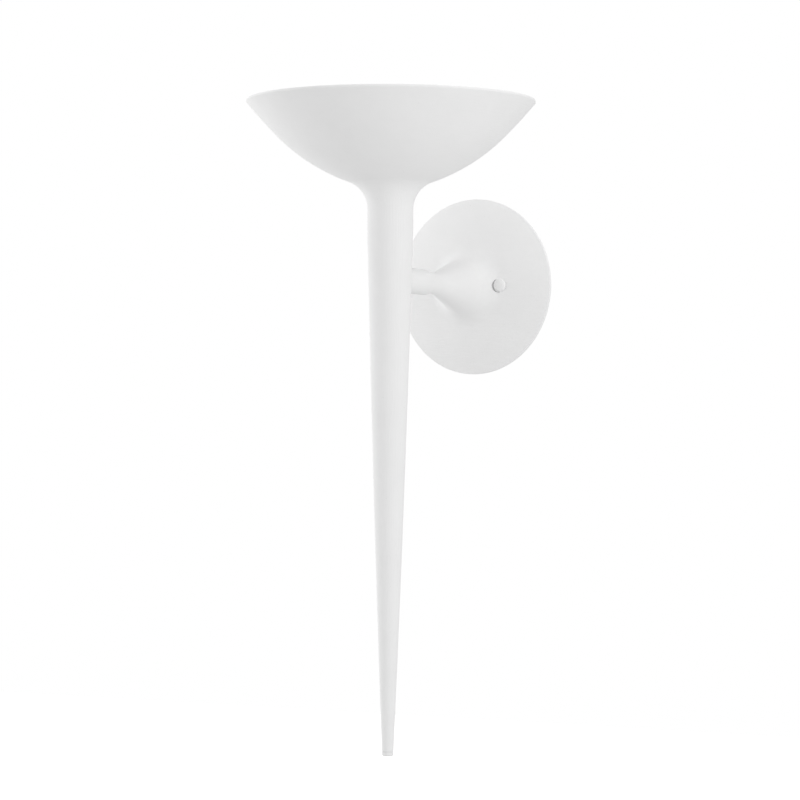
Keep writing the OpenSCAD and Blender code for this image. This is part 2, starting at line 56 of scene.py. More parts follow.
REACH = 154  # wall to the stem's axis
SEAT_RISE = 91  # arm's axis up to the bowl's seat
STEM_DROP = 443  # arm's axis down to the tip
STEM_R = 21.5  # stem under the neck
NECK_FILLET = 27.5  # spreads the stem into the neck
SEAT_SLOPE = radians(19.5)  # of the bowl's side where it leaves the neck
FINE = 0.15  # clearance between pieces
MERGE = 0.002  # vertices closer than this become one


def mm(value):
    return value / 1000


# %% [markdown]
# The camera stands where the photographer stood: 2.9 m from the stem, to the right of the front, and a
# little below the bowl's rim, so that the rim closes to a thin crescent and the inside stays hidden. A long
# lens from far away keeps the tall stem free of perspective. The small shift and roll are those of the
# photograph.

# %% Camera
AZIMUTH = radians(32.49)
CAMERA_DISTANCE = mm(2940)
CAMERA_HEIGHT = mm(-161)
CAMERA_TILT = 0.0165  # radians above level
CAMERA_ROLL = 0.0049
FOCAL_LENGTH, SENSOR_WIDTH = 142.29, 36
SIDE_SHIFT = 0.01325  # of the picture's width

eye = Vector((
    CAMERA_DISTANCE * sin(AZIMUTH), mm(-REACH) - CAMERA_DISTANCE * cos(AZIMUTH), CAMERA_HEIGHT,
))
lens = bpy.data.cameras.new("photographers_camera")
lens.lens, lens.sensor_width = FOCAL_LENGTH, SENSOR_WIDTH
lens.shift_x = SIDE_SHIFT
camera = bpy.data.objects.new("camera", lens)
bpy.context.scene.collection.objects.link(camera)
camera.matrix_world = (
    Matrix.Translation(eye)
    @ Matrix.Rotation(AZIMUTH, 4, "Z")
    @ Matrix.Rotation(pi / 2 + CAMERA_TILT, 4, "X")
    @ Matrix.Rotation(CAMERA_ROLL, 4, "Z")
)
bpy.context.scene.camera = camera
print("camera at", [round(v, 3) for v in eye])

# %% [markdown]
# ## Finishes
# Blender's shaders want linear colour, while colours are usually written as sRGB hex, so one function turns
# hex to linear. A second function adds a shader node, sets it and links it in one line, which keeps each
# material short enough to read.

# %% Helpers for materials


def colour(hex_code):
    channels = [int(hex_code[i:i + 2], 16) / 255 for i in (0, 2, 4)]
    return [c / 12.92 if c <= 0.04045 else ((c + 0.055) / 1.055) ** 2.4 for c in channels] + [1]


def add(tree, kind, settings=(), **sockets):
    """Adds a node. A socket's value is a number or colour to set, or another node's output to link."""
    made = tree.nodes.new("ShaderNode" + kind)
    for name, value in dict(settings).items():
        setattr(made, name, value)
    for name, value in sockets.items():
        key = int(name[1:]) if name[1:].isdigit() else name.replace("_", " ")
        if isinstance(value, bpy.types.NodeSocket):
            tree.links.new(value, made.inputs[key])
        else:
            made.inputs[key].default_value = value
    return made


def finish(name, **sockets):
    """A new material with a Principled shader. Returns the material, its tree and the shader."""
    material = bpy.data.materials.new(name)
    material.use_nodes = True
    tree = material.node_tree
    tree.nodes.clear()
    shader = add(tree, "BsdfPrincipled", **sockets)
    add(tree, "OutputMaterial", Surface=shader.outputs[0])
    return material, tree, shader


def place_in(tree, scale=(1, 1, 1)):
    """Object coordinates in metres, stretched by scale."""
    here = add(tree, "TexCoord").outputs["Object"]
    return add(tree, "Mapping", Vector=here, Scale=scale).outputs[0]


def find_node(tree, kind):
    """The tree's only node of this kind, such as its output."""
    return next(node for node in tree.nodes if node.type == kind)


print("gesso's white is", [round(c, 3) for c in colour("F2F2F2")[:3]], "in linear colour")

# %% [markdown]
# **Gesso** is brushed on in several coats and rubbed down. It is chalk in glue: dead matt and nearly white,
# with no tint. The eye reads three things on it: long shallow brush marks, a grain like fine sandpaper, and
# a few pinholes where bubbles broke. The marks follow the brush, so the noise is stretched along one axis,
# up the stem or across the bowl. The colour shifts by a hair where the coat is thinner.

# %% Gesso


def gesso(name, stroke):
    """stroke stretches the brush marks: a low number along the brush, a high one across it."""
    material, tree, shader = finish(name, Roughness=0.82, IOR=1.5)
    shader.inputs["Specular IOR Level"].default_value = 0.3
    body = place_in(tree)
    # cloudy tone, about 30 mm across: the coat's thickness varies
    cloud = add(tree, "TexNoise", Vector=body, Scale=1 / mm(30), Detail=3.0, Roughness=0.55)
    tone = add(tree, "ValToRGB", Fac=cloud.outputs[0])
    tone.color_ramp.elements[0].position, tone.color_ramp.elements[0].color = 0.3, colour("F1F1F1")
    tone.color_ramp.elements[1].position, tone.color_ramp.elements[1].color = 0.7, colour("F3F3F3")
    # brush marks about 1.5 mm wide and 25 mm long
    brushed = place_in(tree, scale=stroke)
    marks = add(tree, "TexNoise", Vector=brushed, Scale=1.0, Detail=4.0, Roughness=0.6)
    # sandpaper grain, 0.35 mm, drawn twice as coarse so that it shows at this size
    grain = add(tree, "TexNoise", Vector=body, Scale=1 / mm(0.7), Detail=2.0, Roughness=0.7)
    # pinholes 0.4 mm across, one in about 9 mm
    pins = add(tree, "TexVoronoi", Vector=body, Scale=1 / mm(9))
    hole = add(tree, "MapRange", Value=pins.outputs["Distance"], From_Min=0.02, From_Max=0.06)
    # painted shade: the colour darkens a little inside each pinhole, as shade would fall in it
    shade = add(tree, "MapRange", Value=hole.outputs[0], To_Min=0.9, To_Max=1.0)
    tone_with_pinhole_shade = add(tree, "VectorMath", {"operation": "SCALE"}, Scale=shade.outputs[0], _0=tone.outputs[0])
    tree.links.new(tone_with_pinhole_shade.outputs[0], shader.inputs["Base Color"])
    low = add(tree, "Bump", Strength=0.5, Distance=mm(0.35), Height=marks.outputs[0])
    mid = add(tree, "Bump", Strength=0.35, Distance=mm(0.2), Height=grain.outputs[0], Normal=low.outputs[0])
    top = add(tree, "Bump", Strength=0.5, Distance=mm(0.15), Height=hole.outputs[0], Normal=mid.outputs[0])
    tree.links.new(top.outputs[0], shader.inputs["Normal"])
    return material


gesso_up = gesso("gesso_brushed_up_the_stem", (1 / mm(1.5), 1 / mm(1.5), 1 / mm(25)))
gesso_across = gesso("gesso_brushed_round_the_bowl", (1 / mm(25), 1 / mm(25), 1 / mm(1.5)))
gesso_plate = gesso("gesso_brushed_over_the_plate", (1 / mm(18), 1 / mm(6), 1 / mm(1.8)))
print("gesso:", gesso_up.name, gesso_across.name, gesso_plate.name)

# %% [markdown]
# The rest of the light is plain hardware, hidden from the front but plain to see from above and behind.
# **Zinc plate** is a thin bright coat on rolled steel, with a fine grain along the strip and a faint bluish
# and yellowish bloom. **Brass** nuts are turned from bar, so they are smooth and warm. Metals keep their
# default IOR, because their colour comes from the base colour.

# %% Metals


def plated(name, low, high, roughness, grain_mm, along):
    material, tree, shader = finish(name, Metallic=1.0)
    bloom = add(tree, "TexNoise", Vector=place_in(tree), Scale=1 / mm(12), Detail=3.0)
    tint = add(tree, "ValToRGB", Fac=bloom.outputs[0])
    tint.color_ramp.elements[0].position, tint.color_ramp.elements[0].color = 0.35, colour(low)
    tint.color_ramp.elements[1].position, tint.color_ramp.elements[1].color = 0.65, colour(high)
    tree.links.new(tint.outputs[0], shader.inputs["Base Color"])
    stretched = place_in(tree, scale=[1 / mm(grain_mm * k) for k in along])
    lines = add(tree, "TexNoise", Vector=stretched, Scale=1.0, Detail=3.0)
    rough = add(tree, "MapRange", Value=lines.outputs[0], To_Min=roughness - 0.08, To_Max=roughness + 0.1)
    tree.links.new(rough.outputs[0], shader.inputs["Roughness"])
    bump = add(tree, "Bump", Strength=0.3, Distance=mm(0.03), Height=lines.outputs[0])
    tree.links.new(bump.outputs[0], shader.inputs["Normal"])
    return material


zinc_upright = plated("zinc_plated_steel_upright", "B9BCC0", "C6C5BD", 0.36, 0.5, (1, 1, 30))
zinc_level = plated("zinc_plated_steel_level", "B9BCC0", "C6C5BD", 0.36, 0.5, (30, 1, 1))
zinc_small = plated("zinc_plated_steel_small", "B4B8BD", "C8C7BF", 0.32, 0.8, (1, 1, 1))
brass = plated("turned_brass", "D9B463", "E3C277", 0.28, 0.4, (1, 20, 1))
nickel = plated("nickel_plated_cap", "C9C6C0", "D4D2CC", 0.22, 0.6, (1, 1, 1))
print("metals:", [m.name for m in (zinc_upright, zinc_level, zinc_small, brass, nickel)])

# %% [markdown]
# **Glazed porcelain** holds the lamp, because it stands heat: white, glossy and slightly wavy where the
# glaze ran. **Moulded nylon** is duller and a touch yellow. **Insulated wire** is soft PVC over copper: an
# even colour, a low sheen and fine die lines along its length. The last 8 mm of each wire is stripped, and
# a mask on the height turns that end to copper.

# %% Ceramic and plastics


def glossy(name, low, high, roughness, wave_mm, depth_mm, ior=1.5):
    material, tree, shader = finish(name, Roughness=roughness, IOR=ior)
    wave = add(tree, "TexNoise", Vector=place_in(tree), Scale=1 / mm(wave_mm), Detail=3.0)
    tint = add(tree, "ValToRGB", Fac=wave.outputs[0])
    tint.color_ramp.elements[0].position, tint.color_ramp.elements[0].color = 0.3, colour(low)
    tint.color_ramp.elements[1].position, tint.color_ramp.elements[1].color = 0.7, colour(high)
    tree.links.new(tint.outputs[0], shader.inputs["Base Color"])
    bump = add(tree, "Bump", Strength=0.4, Distance=mm(depth_mm), Height=wave.outputs[0])
    tree.links.new(bump.outputs[0], shader.inputs["Normal"])
    return material


porcelain = glossy("glazed_porcelain", "E9E7E0", "F1F0EB", 0.12, 9, 0.2, 1.52)
nylon = glossy("moulded_nylon", "E4DFCF", "EBE7D9", 0.45, 1.2, 0.05, 1.53)
green_dye = glossy("green_dyed_zinc", "2A6B3C", "34794A", 0.3, 1.5, 0.05)
black_glass = glossy("black_glass", "101012", "1A1A1C", 0.1, 4, 0.05, 1.52)


def wire(name, low, high, bare_above_mm=None):
    """bare_above_mm: height above or below the arm where the stripped end begins."""
    material = glossy(name, low, high, 0.42, 0.8, 0.04)
    if bare_above_mm is None:
        return material
    tree = material.node_tree
    shader = find_node(tree, "BSDF_PRINCIPLED")
    here = add(tree, "TexCoord").outputs["Object"]
    parts = add(tree, "SeparateXYZ", Vector=here)
    height = add(tree, "Math", {"operation": "ABSOLUTE"}, _0=parts.outputs["Z"])
    tall = add(tree, "Math", {"operation": "GREATER_THAN"}, _0=height.outputs[0], _1=mm(bare_above_mm))
    rear = add(tree, "Math", {"operation": "GREATER_THAN"}, _0=parts.outputs["Y"], _1=mm(-TAIL_DEPTH))
    bare = add(tree, "Math", {"operation": "MULTIPLY"}, _0=tall.outputs[0], _1=rear.outputs[0])
    metal = add(tree, "BsdfPrincipled", Base_Color=colour("D08A62"), Metallic=1.0, Roughness=0.3)
    both = add(tree, "MixShader", Fac=bare.outputs[0], _1=shader.outputs[0], _2=metal.outputs[0])
    tree.links.new(both.outputs[0], find_node(tree, "OUTPUT_MATERIAL").inputs["Surface"])
    return material


TAIL_BEND, TAIL = 8, 26  # where the leads turn aside behind the plate, and how far their insulation runs on
TAIL_DEPTH = 20  # the leads' rear ends lie closer to the wall than this
black_wire = wire("black_pvc_wire", "161617", "202022", TAIL_BEND + TAIL)
white_wire = wire("white_pvc_wire", "DDDCD8", "E6E5E1", TAIL_BEND + TAIL)
green_wire = wire("green_pvc_wire", "1F6B38", "2A7A45")
print("plastics:", porcelain.name, nylon.name, black_wire.name)

# %% [markdown]
# **Frosted glass** is etched inside, so the bulb glows white and hides its works. A rough transmission of
# about a half over a milky white body gives that without a bright highlight.

# %% Frosted glass
frosted, glass_tree, glass_shader = finish(
    "frosted_glass", Base_Color=colour("F5F5F2"), Roughness=0.35, IOR=1.5,
)
glass_shader.inputs["Transmission Weight"].default_value = 0.35
etching = add(glass_tree, "TexNoise", Vector=place_in(glass_tree), Scale=1 / mm(0.6), Detail=2.0)
etched = add(glass_tree, "Bump", Strength=0.2, Distance=mm(0.03), Height=etching.outputs[0])
glass_tree.links.new(etched.outputs[0], glass_shader.inputs["Normal"])
print("glass:", frosted.name)

# %% [markdown]
# ## Turned pieces
# Every visible part of this light is round: spun, rolled or turned. So each one is made as a turner makes
# it. A few strokes draw half of its outline, and one spin turns the outline round the axis. A vertex is
# extruded for a straight stroke and spun about a centre for a round one, so a fillet is a true arc. The
# outline is drawn with X as the radius and Z along the axis.

# %% Drawing an outline


def begin(bm, point):
    return bmesh.ops.create_vert(bm, co=(mm(point[0]), 0, mm(point[1])))["vert"][0]


def line(bm, last, point, cuts=0):
    """Straight stroke from the last vertex to point, in cuts + 1 equal parts."""
    start, goal = last.co.copy(), Vector((mm(point[0]), 0, mm(point[1])))
    for part in range(1, cuts + 2):
        last = bmesh.ops.extrude_vert_indiv(bm, verts=[last])["verts"][0]
        last.co = start.lerp(goal, part / (cuts + 1))
    return last


def arc(bm, last, centre, sweep, steps):
    """Round stroke about centre, of sweep degrees, positive from the radius towards the axis' direction."""
    made = bmesh.ops.spin(
        bm, geom=[last], cent=(mm(centre[0]), 0, mm(centre[1])), axis=(0, -1, 0),
        angle=radians(sweep), steps=steps,
    )
    return next(g for g in made["geom_last"] if isinstance(g, bmesh.types.BMVert))


def close(bm, last, first):
    bmesh.ops.contextual_create(bm, geom=[last, first])


def turn(bm, steps):
    """Spins the outline about the Z axis, closes seam and poles, and points the faces outwards."""
    bmesh.ops.spin(
        bm, geom=bm.verts[:] + bm.edges[:], cent=(0, 0, 0), axis=(0, 0, 1),
        angle=2 * pi, steps=steps, use_merge=True,
    )
    bmesh.ops.remove_doubles(bm, verts=bm.verts[:], dist=mm(MERGE))
    bmesh.ops.recalc_face_normals(bm, faces=bm.faces[:])


print("strokes: line, arc; then turn")

# %% [markdown]
# A turned outline stands up along Z. The stem and bowl only have to be moved out to the stem's axis, while
# the plate and the sleeve lie along the arm, so theirs is turned to face out from the wall. The place goes
# into the mesh and the object stays at the origin. Edges sharper than 15 degrees are marked, and the rest
# is shaded smooth. That is less than the usual 30, because the bowl's side leaves its floor at 19.5
# degrees, and a smooth edge there would draw a dark line round the neck. So every small arc has steps under
# 15 degrees.

# %% From outline to finished piece
STEM_AXIS = Matrix.Translation((0, mm(-REACH), 0))
OFF_WALL = Matrix.Rotation(pi / 2, 4, "X")  # +Z turns to face out from the wall
ALONG_ARM = STEM_AXIS @ Matrix.Rotation(-pi / 2, 4, "X")  # +Z runs from the stem to the wall
SHARP = radians(15)


def mark_edges(bm):
    for face in bm.faces:
        face.smooth = True
    for edge in bm.edges:
        edge.smooth = not edge.is_manifold or edge.calc_face_angle() < SHARP


def add_drum(bm, radius, low, high, segments=64, x=0, y=0):
    """Solid drum round an upright axis at x and y, from height low to high."""
    bmesh.ops.create_cone(
        bm, cap_ends=True, segments=segments, radius1=mm(radius), radius2=mm(radius), depth=mm(high - low),
        matrix=Matrix.Translation((mm(x), mm(y), mm((low + high) / 2))),
    )


def make_object(name, bm, place):
    bmesh.ops.transform(bm, matrix=place, verts=bm.verts[:])
    mark_edges(bm)
    mesh = bpy.data.meshes.new(name)
    bm.to_mesh(mesh)
    bm.free()
    piece = bpy.data.objects.new(name, mesh)
    bpy.context.scene.collection.objects.link(piece)
    return piece


def cut(piece, tool, operation="DIFFERENCE"):
    """Takes the tool's volume out of the piece, or joins it on with UNION, and removes the tool."""
    boolean = piece.modifiers.new("cut", "BOOLEAN")
    boolean.operation, boolean.object, boolean.solver = operation, tool, "EXACT"
    evaluated = piece.evaluated_get(bpy.context.evaluated_depsgraph_get())
    bm = bmesh.new()
    bm.from_mesh(evaluated.to_mesh())
    evaluated.to_mesh_clear()
    piece.modifiers.remove(boolean)
    bmesh.ops.remove_doubles(bm, verts=bm.verts[:], dist=mm(MERGE))
    mark_edges(bm)
    bm.to_mesh(piece.data)
    bm.free()
    bpy.data.objects.remove(tool)


def stand_for(piece, node, material):
    """The piece takes the CAD part's place and finish."""
    piece.data.materials.append(material)
    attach(piece, "root")
    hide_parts(node)
    print(piece.name, len(piece.data.vertices), "vertices for", node)


# %% [markdown]
# Gesso is never quite even. Each coat leaves the surface a tenth of a millimetre lower here and there,
# which shows as a slight liveliness of the light on a smooth shape. So the vertices of a coated piece move
# in along their normals by a slow noise. They never move out, so the piece keeps to its CAD size. Where the
# bowl sits on the neck the coat bridges the joint, so near that height the vertices stay where they are.

# %% Hand-laid coat
COAT_WAVE = mm(14)  # from one low spot to the next
COAT_DEPTH = mm(0.16)  # the lowest spots
COAT_BRIDGE = mm(6)  # the coat evens out this close to a joint


def hand_coat(bm, joint=None):
    """joint is the height in mm at which two pieces meet under one coat."""
    bm.normal_update()
    moves = []
    for vertex in bm.verts:
        depth = COAT_DEPTH * (1 - noise.noise(vertex.co / COAT_WAVE)) / 2
        if joint is not None:
            depth *= min(1, abs(vertex.co.z - mm(joint)) / COAT_BRIDGE)
        moves.append((vertex, vertex.normal * -depth))
    for vertex, move in moves:
        vertex.co += move


print("coat varies by", COAT_DEPTH * 1000, "mm")

# %% [markdown]
# ## The bowl
# The bowl is one sheet of metal spun over a form: a flat floor with a hole for the lamp socket, a rounded
# lower part, and a flatter flank that runs up to a trimmed edge. The underside leaves the neck at 19.5
# degrees and steepens to 45.5, and each arc starts in the direction in which the last one ended.

# %% Bowl
BOWL_R, BOWL_WALL = 134.8, 2
BULGE_R, FLANK_R = 178, 500  # arcs of the rounded lower part and of the flatter flank
FLANK_SLOPE = radians(45.5)  # where the one turns into the other
LIP_H, LIP_ROUND = 2.3, 0.9  # trimmed edge
HOLE_R = 17.4  # in the floor, for the socket
BOWL_TURNS = 480

seat_r = STEM_R + NECK_FILLET * (1 - sin(SEAT_SLOPE))
bulge = Vector((seat_r - BULGE_R * sin(SEAT_SLOPE), SEAT_RISE + BULGE_R * cos(SEAT_SLOPE)))
flank = bulge - (FLANK_R - BULGE_R) * Vector((sin(FLANK_SLOPE), -cos(FLANK_SLOPE)))
rim_slope = asin((BOWL_R - flank.x) / FLANK_R)
lip_foot = flank.y - FLANK_R * cos(rim_slope)
rim_z = lip_foot + LIP_H
inner_rim_slope = acos((flank.y - lip_foot) / (FLANK_R - BOWL_WALL))
rim_in = flank.x + (FLANK_R - BOWL_WALL) * sin(inner_rim_slope)
floor_z = SEAT_RISE + BOWL_WALL
inner_seat_slope = acos((bulge.y - floor_z) / (BULGE_R - BOWL_WALL))

bm = bmesh.new()
first = begin(bm, (HOLE_R, SEAT_RISE))
end = line(bm, first, (seat_r, SEAT_RISE), cuts=6)
end = arc(bm, end, bulge, degrees(FLANK_SLOPE - SEAT_SLOPE), 40)
end = arc(bm, end, flank, degrees(rim_slope - FLANK_SLOPE), 18)
end = line(bm, end, (BOWL_R, rim_z - LIP_ROUND))
end = arc(bm, end, (BOWL_R - LIP_ROUND, rim_z - LIP_ROUND), 90, 8)
end = line(bm, end, (rim_in + LIP_ROUND, rim_z))
end = arc(bm, end, (rim_in + LIP_ROUND, rim_z - LIP_ROUND), 90, 7)
end = line(bm, end, (rim_in, lip_foot))
end = arc(bm, end, flank, degrees(FLANK_SLOPE - inner_rim_slope), 16)
end = arc(bm, end, bulge, degrees(inner_seat_slope - FLANK_SLOPE), 36)
end = line(bm, end, (HOLE_R, floor_z), cuts=6)
close(bm, end, first)
turn(bm, BOWL_TURNS)
hand_coat(bm, SEAT_RISE)
bowl = make_object("spun_bowl", bm, STEM_AXIS)
stand_for(bowl, "bowl", gesso_across)
print("rim at", round(rim_z, 2), "mm above the arm")

# %% [markdown]
# ## The stem
# The stem is a tube drawn to a long taper. A straight cone looks thin in the middle, so makers let it belly
# out a little, here by 0.9 mm. At the top a fillet spreads it into a neck that meets the bowl. The outline
# is one long line, cut into pieces that are then moved out by the belly's formula.

# %% Stem
TIP_R, BUTTON_H, STEM_WALL = 5.3, 4, 1.8
TAPER_TOP, SWELL = 47, 0.9  # height where the taper begins, and its belly
HAIRLINE, HAIRLINE_H = 0.35, 0.5  # the edges beside the joint with the tip are eased by this much
WIRE_HOLE_R, DRILL_L = 8, 43
STEM_TURNS = 128
TIP_Z = -STEM_DROP
FILLET_Z = SEAT_RISE - NECK_FILLET * cos(SEAT_SLOPE)


def stem_r(z):
    """Outside radius of the taper at height z."""
    t = (TAPER_TOP - z) / (TAPER_TOP - TIP_Z)
    return STEM_R + (TIP_R - STEM_R) * t + 4 * SWELL * t * (1 - t)


def draw_stem(bm, out, soften=0.0):
    """Outline from the button up to the seat, moved out by out. soften rounds its lower edge."""
    foot = TIP_Z + BUTTON_H
    first = begin(bm, (stem_r(foot) + out - soften, foot))
    end = line(bm, first, (stem_r(foot + HAIRLINE_H) + out, foot + HAIRLINE_H * (soften > 0)))
    top = line(bm, end, (STEM_R + out, TAPER_TOP), cuts=150)
    for vertex in bm.verts:
        if mm(foot + 2 * HAIRLINE_H) < vertex.co.z < mm(TAPER_TOP - HAIRLINE_H):
            vertex.co.x = mm(stem_r(vertex.co.z * 1000) + out)
    end = line(bm, top, (STEM_R + out, FILLET_Z), cuts=8)
    radius = NECK_FILLET - out
    sweep = degrees(asin((SEAT_RISE - FILLET_Z) / radius))
    return first, arc(bm, end, (STEM_R + NECK_FILLET, FILLET_Z), -sweep, 30)


bm = bmesh.new()
outer_foot, outer_top = draw_stem(bm, 0, soften=HAIRLINE)
inner = bmesh.new()
draw_stem(inner, -STEM_WALL)
carried = bpy.data.meshes.new("inner_outline")
inner.to_mesh(carried)
inner.free()
known = set(bm.verts)
bm.from_mesh(carried)
inside = sorted((v for v in bm.verts if v not in known), key=lambda v: v.co.z)
close(bm, outer_top, inside[-1])
close(bm, outer_foot, inside[0])
turn(bm, STEM_TURNS)
hand_coat(bm, SEAT_RISE)
stem = make_object("tapered_stem", bm, STEM_AXIS)

bm = bmesh.new()
add_drum(bm, WIRE_HOLE_R, 0, DRILL_L)
cut(stem, make_object("wire_drill", bm, ALONG_ARM))
stand_for(stem, "stem", gesso_up)

# %% [markdown]
# ## The tip
# The tube would be open at its lower end, so a small turned button closes it, held by a spigot up the bore.
# Its edge is rounded by several coats of gesso, and a hairline shows where it meets the tube.

# %% Tip button
TIP_ROUND = 1.8
SPIGOT_L, SPIGOT_CHAMFER = 12, 1
button_top = TIP_Z + BUTTON_H
spigot_r = stem_r(button_top) - STEM_WALL - FINE

bm = bmesh.new()
end = begin(bm, (0, TIP_Z))
end = line(bm, end, (TIP_R - TIP_ROUND, TIP_Z), cuts=3)
end = arc(bm, end, (TIP_R - TIP_ROUND, TIP_Z + TIP_ROUND), 90, 8)
end = line(bm, end, (stem_r(button_top), button_top - HAIRLINE), cuts=4)
end = line(bm, end, (stem_r(button_top) - HAIRLINE, button_top))
end = line(bm, end, (spigot_r, button_top), cuts=1)
end = line(bm, end, (spigot_r, button_top + SPIGOT_L - SPIGOT_CHAMFER), cuts=4)
end = line(bm, end, (spigot_r - SPIGOT_CHAMFER, button_top + SPIGOT_L))
end = line(bm, end, (0, button_top + SPIGOT_L))
turn(bm, 96)
tip = make_object("tip_button", bm, STEM_AXIS)
stand_for(tip, "stem_tip", gesso_up)

# %% [markdown]
# ## The sleeve
# A short turned boss is welded to the stem's back and takes the plate's nose. It is turned as a plain tube
# with a web inside, and then the stem's own shape is cut out of its end, as a maker files a saddle to fit.

# %% Sleeve
SLEEVE_R, SLEEVE_REACH, SLEEVE_WALL = 12, 61.5, 1.55
NOSE_R = SLEEVE_R - SLEEVE_WALL - FINE
SLEEVE_ROUND, SLEEVE_EASE = 0.7, 0.2  # open end, outside and inside
SADDLE_START, SADDLE_GAP = 5, 0.1
NOSE_GRIP, WEB_T = 17, 8
NIPPLE_HOLE_R = 5 + FINE
nose_end = SLEEVE_REACH - NOSE_GRIP
web_face = nose_end - SLEEVE_EASE
bore_r = NOSE_R + FINE

bm = bmesh.new()
first = begin(bm, (WIRE_HOLE_R, SADDLE_START))
end = line(bm, first, (SLEEVE_R, SADDLE_START), cuts=3)
end = line(bm, end, (SLEEVE_R, SLEEVE_REACH - SLEEVE_ROUND), cuts=30)
end = arc(bm, end, (SLEEVE_R - SLEEVE_ROUND, SLEEVE_REACH - SLEEVE_ROUND), 90, 7)
end = line(bm, end, (bore_r + SLEEVE_EASE, SLEEVE_REACH))
end = line(bm, end, (bore_r, SLEEVE_REACH - SLEEVE_EASE))
end = line(bm, end, (bore_r, web_face), cuts=8)
end = line(bm, end, (NIPPLE_HOLE_R, web_face), cuts=2)
end = line(bm, end, (NIPPLE_HOLE_R, web_face - WEB_T), cuts=4)
end = line(bm, end, (WIRE_HOLE_R, web_face - WEB_T), cuts=2)
close(bm, end, first)
turn(bm, 128)
sleeve = make_object("arm_sleeve_turned", bm, ALONG_ARM)

bm = bmesh.new()
saddle_foot, saddle_top = draw_stem(bm, SADDLE_GAP)
line(bm, saddle_foot, (0, TIP_Z + BUTTON_H))
line(bm, saddle_top, (0, SEAT_RISE))
turn(bm, 96)
cut(sleeve, make_object("saddle_cutter", bm, STEM_AXIS))
stand_for(sleeve, "arm_sleeve", gesso_up)

# %% [markdown]
# ## The backplate
# The plate takes the most skill on this light. A shallow dome rises from an upright edge, turns through a
# fillet into a cone, and narrows into the nose that plugs into the sleeve, all in one line with no crease.
# Its back is hollow and follows the front. Seen along its axis it is simple, so it is drawn as one outline
# and turned. The two round seats for the nuts come after, because they break the roundness.

# %% Backplate
PLATE_R, EDGE_H, PLATE_WALL, EDGE_ROUND = 85, 2.3, 2.2, 0.9
DOME_R, DOME_SLOPE, SLOPE_R = 400, radians(13), 36.8  # the dome slopes by 13 degrees at this radius
FOOT_R, FOOT_FILLET = 41, 22  # the flare begins at this radius
CONE_ANGLE, NOSE_FILLET = radians(19), 40
NOSE_CHAMFER = 0.3
HUB_H, HUB_WALL = 66, 1.8  # web inside the flare that the locknut pulls on, and the flare's wall beside it
PLATE_TURNS = 360

dome = Vector((SLOPE_R - DOME_R * sin(DOME_SLOPE), 0))
dome.y = EDGE_H - sqrt(DOME_R ** 2 - (PLATE_R - dome.x) ** 2)
foot_slope = asin((FOOT_R - dome.x) / DOME_R)
foot = dome + (DOME_R + FOOT_FILLET) * Vector((sin(foot_slope), cos(foot_slope)))
cone_foot = foot - FOOT_FILLET * Vector((cos(CONE_ANGLE), sin(CONE_ANGLE)))
cone_tip_h = cone_foot.y + (cone_foot.x - NOSE_R) / tan(CONE_ANGLE)
nose = Vector((NOSE_R + NOSE_FILLET, cone_tip_h + NOSE_FILLET * tan(CONE_ANGLE / 2)))
nose_top = REACH - nose_end


def dome_slope_at(r, inset):
    return asin((r - dome.x) / (DOME_R - inset))


def on_circle(centre, radius, angle):
    return centre + radius * Vector((cos(angle), sin(angle)))


def draw_dome(bm, last, r, inset, steps):
    """Dome from radius r inwards and round the foot of the flare, moved into the metal by inset."""
    slope = dome_slope_at(r, inset)
    end = line(bm, last, on_circle(dome, DOME_R - inset, pi / 2 - slope))
    end = arc(bm, end, dome, degrees(slope - foot_slope), steps)
    return arc(bm, end, foot, -90 + degrees(foot_slope + CONE_ANGLE), 24)


def flare_in_r(h):
    return NOSE_R + (cone_tip_h - h) * tan(CONE_ANGLE) - HUB_WALL / cos(CONE_ANGLE)


edge_slope = asin((PLATE_R - EDGE_ROUND - dome.x) / (DOME_R - EDGE_ROUND))
edge_centre = on_circle(dome, DOME_R - EDGE_ROUND, pi / 2 - edge_slope)
inner_r = PLATE_R - PLATE_WALL

bm = bmesh.new()
first = begin(bm, (inner_r, 0))
end = line(bm, first, (PLATE_R, 0))
end = line(bm, end, (PLATE_R, edge_centre.y))
end = arc(bm, end, edge_centre, 90 - degrees(edge_slope), 8)
end = draw_dome(bm, end, PLATE_R - EDGE_ROUND, 0, 44)
end = line(bm, end, on_circle(nose, NOSE_FILLET, pi + CONE_ANGLE), cuts=18)
end = arc(bm, end, nose, -degrees(CONE_ANGLE), 12)
end = line(bm, end, (NOSE_R, nose_top - NOSE_CHAMFER), cuts=8)
end = line(bm, end, (NOSE_R - NOSE_CHAMFER, nose_top))
end = line(bm, end, (NIPPLE_HOLE_R, nose_top), cuts=2)
end = line(bm, end, (NIPPLE_HOLE_R, HUB_H), cuts=8)
inner_top = line(bm, end, (flare_in_r(HUB_H), HUB_H), cuts=2)
inner_edge = draw_dome(bm, first, inner_r, PLATE_WALL, 24)
close(bm, inner_edge, inner_top)
turn(bm, PLATE_TURNS)
plate = make_object("domed_backplate", bm, OFF_WALL)
print("dome rises to", round(foot.y, 1), "mm at the flare's foot; nose ends at", nose_top)

# %% [markdown]
# Two studs come through the plate, 76 mm apart. The dome slopes there, and a nut needs a flat seat, so the
# maker sinks a shallow round seat with a cutter. Where it bites into the flare's foot it would break
# through to the hollow inside, so a boss is joined on under the skin before the seat is cut. The seat lies
# a little off the nut's centre, down and towards the flare: there the coat of gesso leaves a gap, and on
# the other side it fills it.

